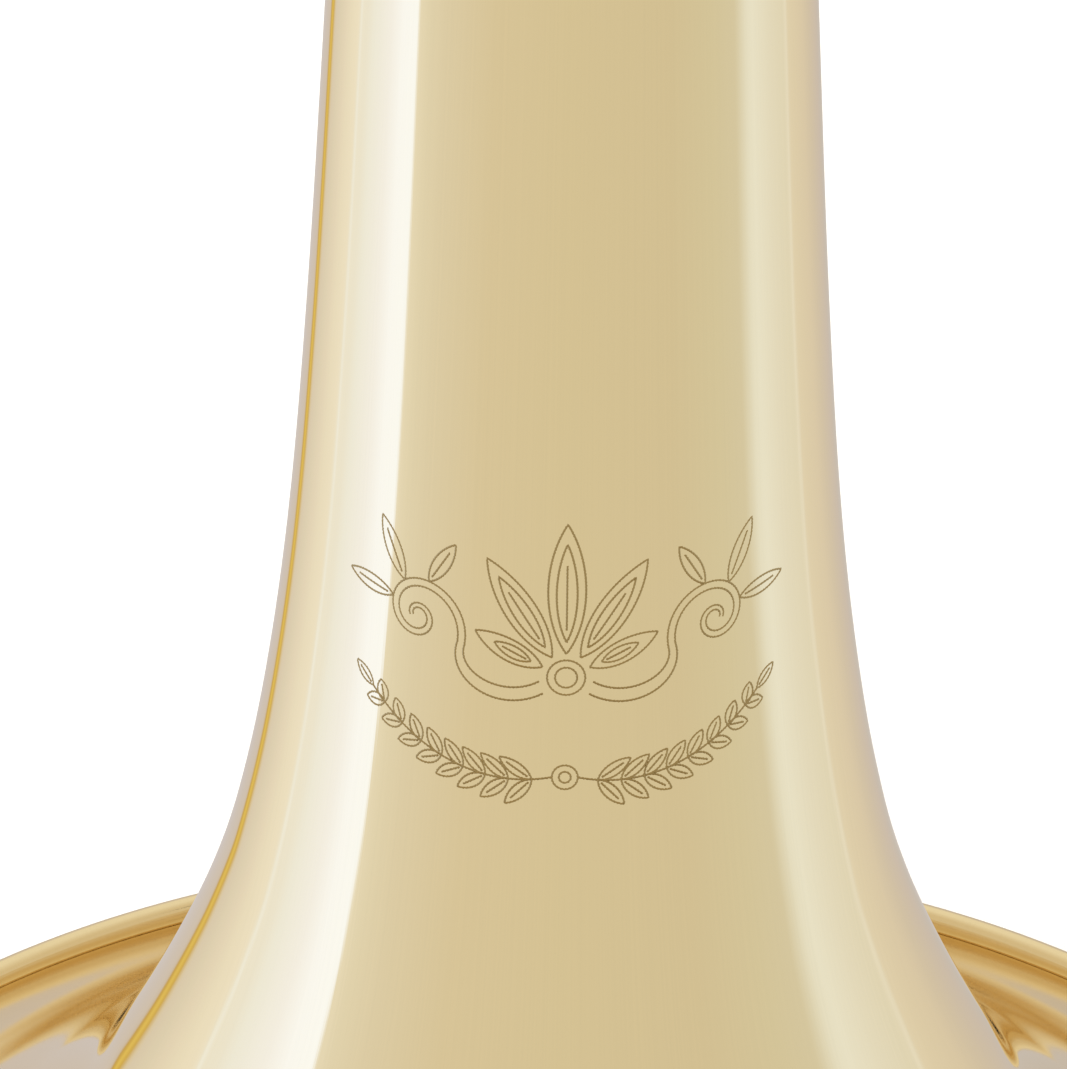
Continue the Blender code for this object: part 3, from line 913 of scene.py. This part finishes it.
class BalanceWeightOperator(bpy.types.Operator):
    """Clamp the split balance weight on the crook's stay with two screws"""

    bl_idname = "bell_section.balance_weight"
    bl_label = "Balance Weight"

    def execute(self, context):
        stay = centre_of("crook_brace_stay")
        low, high = span_of("weight_rear_half", 0)
        half = (high - low) / 2
        radius = radius_of_weight()
        bore = radius_of("crook_brace_stay") + JOIN
        edge, groove = 0.0022, 0.0005
        upper = [
            (bore, half, 0),
            (radius - edge, half, 0.0006),
            (radius, half - edge, 0.0016),
            (radius, half * 0.72, 0.0002),
            (radius - groove, half * 0.70, 0.0003),
            (radius, half * 0.68, 0.0002),
        ]
        outline = rounded(both_ends(upper))
        for node, facing in (("weight_front_half", -1), ("weight_rear_half", 1)):
            mesh = revolved_mesh(node, outline, 192)
            mesh.transform(ALONG_X)
            self.keep_half(mesh, facing)
            piece = finish_piece(f"{node}_drum", mesh, finish_named("stay_brass"))
            piece.location = ((low + high) / 2, 0, stay.z)
            if node == "weight_front_half":
                for screw in WEIGHT_SCREWS:
                    self.cut(piece, self.head_hole(screw))
            place_piece(piece, "tuning_slide", [node])
        for screw in WEIGHT_SCREWS:
            self.make_screw(screw)
        return {"FINISHED"}

    def screw_place(self, node):
        """A screw's axis (X and Z), its head's radius, and its ends along Y."""
        low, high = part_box(node)
        return (low[0] + high[0]) / 2, (low[2] + high[2]) / 2, (high[2] - low[2]) / 2, low[1], high[1]

    def keep_half(self, mesh, facing):
        """Keeps one side of the drum, up to half the narrow gap between the two halves."""
        split = 0.00012
        bm = bmesh.new()
        bm.from_mesh(mesh)
        bmesh.ops.bisect_plane(
            bm, geom=bm.verts[:] + bm.edges[:] + bm.faces[:], plane_co=(0, facing * split, 0),
            plane_no=(0, -facing, 0), clear_outer=True,
        )
        bmesh.ops.holes_fill(bm, edges=[edge for edge in bm.edges if edge.is_boundary], sides=0)
        bmesh.ops.recalc_face_normals(bm, faces=bm.faces)
        bm.to_mesh(mesh)
        bm.free()

    def cutter(self, mesh, place):
        made = new_object(mesh.name, mesh)
        made.location = place
        return made

    def head_hole(self, node):
        """A round cutter along Y that sinks a screw's head below the drum's face."""
        x, z, head, front, _ = self.screw_place(node)
        mouth = -radius_of_weight() - 0.001
        depth = front + HEAD_DEPTH + HEAD_GAP - mouth
        outline = [(0, 0), (head + HEAD_GAP, 0), (head + HEAD_GAP, -depth), (0, -depth)]
        mesh = revolved_mesh(f"{node}_hole", outline, SCREW_SEGMENTS)
        mesh.transform(ALONG_Y)
        return self.cutter(mesh, (x, mouth, z))

    def cut(self, piece, cutter):
        """Cuts a hole or a slot for good and takes the cutter away."""
        modifier = piece.modifiers.new("cut", "BOOLEAN")
        modifier.operation = "DIFFERENCE"
        modifier.object = cutter
        bpy.context.view_layer.update()
        depsgraph = bpy.context.evaluated_depsgraph_get()
        mesh = bpy.data.meshes.new_from_object(piece.evaluated_get(depsgraph))
        piece.modifiers.clear()
        piece.data = mesh
        mesh.set_sharp_from_angle(angle=SHARP_ANGLE)
        bpy.data.objects.remove(cutter)

    def make_screw(self, node):
        """A cheese-head screw along Y, with a slot across its head."""
        x, z, head, front, back = self.screw_place(node)
        shank, tip = head * 0.55, front - back
        slot_width, slot_depth, slot_turn = 0.0007, 0.0007, math.radians(35)
        outline = rounded([
            (0, 0, 0),
            (head, 0, 0.0004),
            (head, -HEAD_DEPTH, 0.0001),
            (shank, -HEAD_DEPTH, 0),
            (shank, tip, 0.0002),
            (0, tip, 0),
        ])
        mesh = revolved_mesh(node, outline, SCREW_SEGMENTS)
        mesh.transform(ALONG_Y)
        piece = finish_piece(f"{node}_turned", mesh, finish_named("screw_steel"))
        piece.location = (x, front, z)
        slot = bpy.data.meshes.new(f"{node}_slot")
        bm = bmesh.new()
        bmesh.ops.create_cube(bm, size=1)
        bmesh.ops.scale(bm, vec=(4 * head, 2 * slot_depth, slot_width), verts=bm.verts)
        bmesh.ops.rotate(bm, verts=bm.verts, matrix=Matrix.Rotation(slot_turn, 3, "Y"))
        bm.to_mesh(slot)
        bm.free()
        self.cut(piece, self.cutter(slot, (x, front, z)))
        place_piece(piece, "tuning_slide", [node])


# -------- the neckpipe and its lock nut
class NeckpipeOperator(bpy.types.Operator):
    """Draw the neckpipe and fit the tenon and the nut's stop ring"""

    bl_idname = "bell_section.neckpipe"
    bl_label = "Neckpipe"

    def execute(self, context):
        pipe_taper, tenon_taper = 0.00025, 0.0007
        low, high = span_of("neckpipe")
        upper = radius_of("neckpipe")
        lower = upper - pipe_taper
        outline = rounded([
            (upper, high, 0),
            (lower, low, 0.0002),
            (lower - TUBE_WALL, low, 0.0002),
            (upper - TUBE_WALL, high, 0),
        ])
        turned(
            "drawn_neckpipe", outline, finish_named("tube_brass"), NECK_X, "bell_section",
            ["neckpipe"],
        )
        low, high = span_of("neck_tenon")
        wide = radius_of("neck_tenon")
        bore = upper + JOIN
        outline = rounded([
            (bore, high, 0),
            (wide, high, 0.0002),
            (wide - tenon_taper, low, 0.0004),
            (bore, low, 0.0001),
        ])
        turned(
            "ground_tenon", outline, finish_named("nickel_silver"), NECK_X, "bell_section",
            ["neck_tenon"],
        )
        ring = "nut_stop_ring"
        nickel_sleeve("stop_ring", ring, NECK_X, "bell_section", bore, radius_of(ring), 0.0006)
        return {"FINISHED"}


class LockNutOperator(bpy.types.Operator):
    """Turn the lock nut and knurl its grip"""

    bl_idname = "bell_section.lock_nut"
    bl_label = "Lock Nut"

    def execute(self, context):
        low, high = span_of("lock_nut")
        radius = radius_of("lock_nut")
        bore = radius_of("neckpipe") + 0.0006
        lip, skirt, flange = radius - 0.0010, radius - 0.0032, high - 0.003
        knurl_low, knurl_high = low + 0.0035, high - 0.0045
        thread_low, thread_step, thread_depth = low + 0.0012, 0.00045, 0.0003
        steps, threads = 48, 12
        drop = (knurl_high - knurl_low) / steps
        grip = [(radius, knurl_high - drop * step) for step in range(steps + 1)]
        thread = []
        for step in range(2 * threads):
            thread.append((skirt + thread_depth * (step % 2), thread_low + thread_step * step))
        upper = rounded([
            (bore, high, 0.0003),
            (lip - 0.0016, high, 0.0003),
            (lip, high - 0.0014, 0.0008),
            (lip, high - 0.0030, 0.0002),
            (lip - 0.0005, high - 0.0034, 0.0002),
            (lip, high - 0.0038, 0.0002),
            (lip, knurl_high + 0.0003, 0.0001),
        ])
        lower = rounded([
            (lip, knurl_low - 0.0003, 0.0001),
            (lip, low + 0.0022, 0.0002),
            (lip - 0.0004, low + 0.0018, 0.0002),
            (lip, low + 0.0014, 0.0002),
            (lip, low, 0.0006),
            (skirt + thread_depth, low, 0.0003),
        ])
        outline = upper[:-1] + grip + lower[1:] + thread + [(skirt, flange), (bore, flange)]
        turns, knurl_depth = 84, 0.00042
        pitch = 2 * math.pi * radius / turns

        def knurled(r, z, angle):
            if r < radius - 1e-6:
                return r
            along = (z - knurl_low) / pitch
            around = angle * turns / (2 * math.pi)
            first = abs((around + along) % 1.0 - 0.5) * 2
            second = abs((around - along) % 1.0 - 0.5) * 2
            return r - knurl_depth * max(first, second)

        turned(
            "knurled_nut", outline, finish_named("nickel_silver"), NECK_X, "lock_nut_body",
            ["lock_nut"], segments=turns * 8, radius_at=knurled,
        )
        return {"FINISHED"}


# -------- the studio
# What stands round the object: azimuth in degrees from the front, and the light's red, green and blue.
LEFT_SURROUND = (
    (-180, 0.63, 0.58, 0.57), (-160, 0.67, 0.63, 0.63), (-154, 0.69, 0.65, 0.65),
    (-151.6, 0.68, 0.63, 0.60), (-150.4, 0.62, 0.43, 0.12), (-148.2, 0.84, 0.65, 0.17),
    (-146.2, 0.70, 0.51, 0.14), (-145, 0.73, 0.62, 0.40), (-143.6, 0.79, 0.75, 0.66),
    (-142, 0.79, 0.77, 0.75), (-136, 0.83, 0.84, 0.84), (-130, 0.89, 0.90, 0.94),
    (-124, 0.94, 0.98, 1.04), (-118, 0.98, 1.03, 1.13), (-116.4, 0.98, 1.04, 1.17),
    (-115.2, 0.98, 1.08, 1.29), (-109, 0.98, 1.09, 1.34), (-104, 1.00, 1.15, 1.50),
    (-92, 1.06, 1.22, 1.72), (-84, 1.13, 1.34, 1.98), (-75.4, 1.14, 1.36, 2.00),
    (-74.7, 0.93, 0.98, 1.06), (-70, 0.88, 0.92, 0.96), (-60, 0.84, 0.86, 0.87),
    (-35, 0.80, 0.79, 0.73), (0, 0.78, 0.77, 0.69),
)
RIGHT_SURROUND = (
    (0, 0.78, 0.77, 0.69), (45, 0.76, 0.75, 0.68), (68, 0.77, 0.79, 0.74),
    (81, 0.78, 0.81, 0.80), (88, 0.92, 1.03, 1.21), (92, 0.95, 1.07, 1.28),
    (104, 0.90, 0.98, 1.11), (114, 0.87, 0.93, 1.00), (118.2, 0.88, 0.93, 1.00),
    (119.6, 0.86, 0.87, 0.88), (124, 0.84, 0.84, 0.83), (134, 0.80, 0.78, 0.75),
    (143, 0.73, 0.70, 0.67), (150, 0.69, 0.65, 0.63), (158, 0.65, 0.60, 0.58),
    (165, 0.61, 0.57, 0.54), (180, 0.63, 0.58, 0.57),
)
# Thin bright lines where two lit panels meet: azimuth, half width, and the colour that they add.
PANEL_SEAMS = (
    (-114.4, 1.4, (0.03, 0.07, 0.17)),
    (117.3, 1.6, (0.04, 0.05, 0.08)),
)
RAMP_TOP = 2.0
# The ceiling's colours in front and behind, and how steep a way up starts to meet it and meets it fully.
HIGH_FRONT = (0.76, 0.68, 0.52)
HIGH_BACK = (0.92, 0.90, 0.80)
CEILING_FROM, CEILING_FULL = 0.1, 0.5

CAMERA_TARGET = Vector((BELL_X, 0, 0.1081))
CAMERA_DISTANCE = 0.8182
CAMERA_ELEVATION = math.radians(31.0)
CAMERA_YAW = math.radians(-0.2253)
CAMERA_ROLL = math.radians(0.7562)
LENS_MM = 269.4107


class StudioOperator(bpy.types.Operator):
    """Set up the floor, the light and the camera"""

    bl_idname = "bell_section.studio"
    bl_label = "Studio"

    def execute(self, context):
        self.lay_floor()
        self.set_surround()
        self.hang_floor_light()
        self.set_camera()
        bpy.context.scene.view_settings.view_transform = "Standard"
        return {"FINISHED"}

    def lay_floor(self):
        mesh = bpy.data.meshes.new("studio_floor")
        reach = 40.0
        corners = [(-reach, -reach, 0), (reach, -reach, 0), (reach, reach, 0), (-reach, reach, 0)]
        mesh.from_pydata(corners, [], [(0, 1, 2, 3)])
        floor = new_object("studio_floor", mesh)
        nodes = FinishMaker("floor_paint")
        place = nodes.add("ShaderNodeTexCoord").outputs["Object"]
        mottle = nodes.noise(place, scale=3.0)
        nodes.join(nodes.tinted(colours().floor, mottle, 0.985), nodes.shader.inputs["Base Color"])
        nodes.shader.inputs["Roughness"].default_value = 0.9
        nodes.shader.inputs["Specular IOR Level"].default_value = 0.0
        mesh.materials.append(nodes.material)
        floor.visible_glossy = False

    def set_surround(self):
        """Lit panels all round, which the brass mirrors, under a darker warm ceiling."""
        world = bpy.data.worlds.new("studio_surround")
        bpy.context.scene.world = world
        world.use_nodes = True
        nodes = TreeMaker(world.node_tree)
        place = nodes.add("ShaderNodeTexCoord").outputs["Generated"]
        parts = nodes.add("ShaderNodeSeparateXYZ")
        nodes.join(place, parts.inputs[0])
        toward = nodes.math("MULTIPLY", parts.outputs["Y"], -1.0)
        azimuth = nodes.math("DEGREES", nodes.math("ARCTAN2", parts.outputs["X"], toward))
        left = nodes.ramp(nodes.remap(azimuth, -180, 0, 0, 1), LEFT_SURROUND, RAMP_TOP)
        right = nodes.ramp(nodes.remap(azimuth, 0, 180, 0, 1), RIGHT_SURROUND, RAMP_TOP)
        level = nodes.mix(nodes.math("GREATER_THAN", azimuth, 0.0), left, right)
        for seam, half_width, colour in PANEL_SEAMS:
            away = nodes.math("ABSOLUTE", nodes.math("SUBTRACT", azimuth, seam))
            bright = nodes.remap(away, 0, half_width, 1, 0)
            level = nodes.mix(bright, level, self.scaled(colour), blend="ADD")
        backward = nodes.remap(parts.outputs["Y"], -0.1, 0.5, 0, 1)
        ceiling = nodes.mix(backward, self.scaled(HIGH_FRONT), self.scaled(HIGH_BACK))
        height = nodes.remap(parts.outputs["Z"], CEILING_FROM, CEILING_FULL, 0, 1)
        light = world.node_tree.nodes["Background"]
        nodes.join(nodes.mix(height, level, ceiling), light.inputs["Color"])
        light.inputs["Strength"].default_value = RAMP_TOP

    def scaled(self, colour):
        """A colour as a share of the surround's strength."""
        return [part / RAMP_TOP for part in colour]

    def hang_floor_light(self):
        """A broad lamp overhead that lights the floor and leaves no glare on the brass."""
        lamp = bpy.data.lights.new("overhead_softbox", "AREA")
        lamp.shape = "DISK"
        lamp.size = 3.0
        lamp.energy = 90.0
        hung = new_object("overhead_softbox", lamp)
        hung.location = (-0.6, -0.9, 3.0)
        hung.rotation_euler = (-hung.location).to_track_quat("-Z", "Y").to_euler()
        hung.visible_glossy = False

    def set_camera(self):
        """Looks down at the bell's throat from the front, with a long lens."""
        data = bpy.data.cameras.new("studio_camera")
        data.sensor_width = 36.0
        data.lens = LENS_MM
        data.clip_start = 0.01
        data.clip_end = 100.0
        camera = new_object("studio_camera", data)
        ahead = Vector((0, math.cos(CAMERA_ELEVATION), -math.sin(CAMERA_ELEVATION)))
        place = CAMERA_TARGET - CAMERA_DISTANCE * ahead
        tilt = Matrix.Rotation(math.radians(90) - CAMERA_ELEVATION, 4, "X")
        yaw = Matrix.Rotation(-CAMERA_YAW, 4, "Y")
        roll = Matrix.Rotation(CAMERA_ROLL, 4, "Z")
        camera.matrix_world = Matrix.Translation(place) @ tilt @ yaw @ roll
        bpy.context.scene.camera = camera


# -------- the add-on
class BellSectionPanel(bpy.types.Panel):
    """The bell section's sizes, colours and pieces"""

    bl_idname = "VIEW3D_PT_bell_section"
    bl_label = "Bell Section"
    bl_space_type = "VIEW_3D"
    bl_region_type = "UI"
    bl_category = "Bell Section"

    def draw(self, context):
        layout = self.layout
        for group in (context.scene.bell_section_sizes, context.scene.bell_section_colours):
            box = layout.box()
            for name in group.__annotations__:
                box.prop(group, name)
        for operator in PIECE_OPERATORS:
            layout.operator(operator.bl_idname)


PIECE_OPERATORS = (
    BellFlareOperator,
    BellStemOperator,
    EngravingOperator,
    OuterTubesOperator,
    TuningSlideOperator,
    BracesOperator,
    BalanceWeightOperator,
    NeckpipeOperator,
    LockNutOperator,
    StudioOperator,
)
CLASSES = (BellSectionSizes, BellSectionColours, *PIECE_OPERATORS, BellSectionPanel)


def register():
    for made in CLASSES:
        bpy.utils.register_class(made)
    bpy.types.Scene.bell_section_sizes = bpy.props.PointerProperty(type=BellSectionSizes)
    bpy.types.Scene.bell_section_colours = bpy.props.PointerProperty(type=BellSectionColours)


def unregister():
    del bpy.types.Scene.bell_section_colours
    del bpy.types.Scene.bell_section_sizes
    for made in reversed(CLASSES):
        bpy.utils.unregister_class(made)


def main():
    register()
    bpy.ops.bell_section.flare()
    bpy.ops.bell_section.stem()
    bpy.ops.bell_section.engraving()
    bpy.ops.bell_section.outer_tubes()
    bpy.ops.bell_section.tuning_slide()
    bpy.ops.bell_section.braces()
    bpy.ops.bell_section.balance_weight()
    bpy.ops.bell_section.neckpipe()
    bpy.ops.bell_section.lock_nut()
    bpy.ops.bell_section.studio()


if __name__ == "__main__":
    main()
